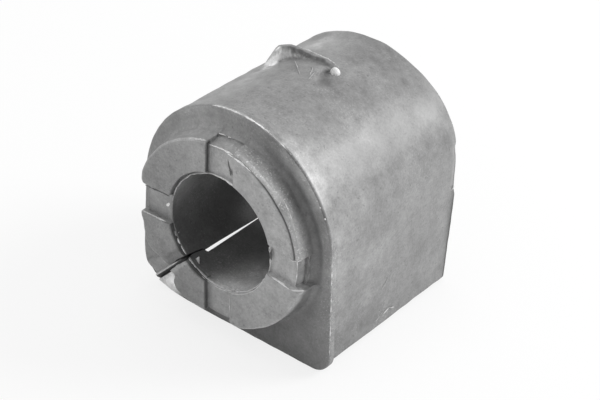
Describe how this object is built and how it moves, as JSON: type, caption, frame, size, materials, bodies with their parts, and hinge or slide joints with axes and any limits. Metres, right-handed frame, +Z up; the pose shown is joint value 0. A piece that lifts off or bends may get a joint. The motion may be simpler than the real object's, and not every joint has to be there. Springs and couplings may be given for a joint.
{
  "type": "stabiliser bar bush",
  "caption": "D-shaped rubber bush with a round bore, a lengthwise slit, a thin front lip, a notched collar in front and a locating rib on its crown.",
  "frame": {"origin": "on the bore axis, in the plane of the lip's front face", "axes": "+X across the bush, +Y along the bore from the collar to the back, +Z up from the flat base to the crown"},
  "size_m": [0.0422, 0.0408, 0.0433],
  "materials": {
    "rubber": "matt moulded black rubber, greyed by dust and bloom"
  },
  "bodies": {
    "root": {"rubber_bush": "rubber"}
  },
  "joints": []
}
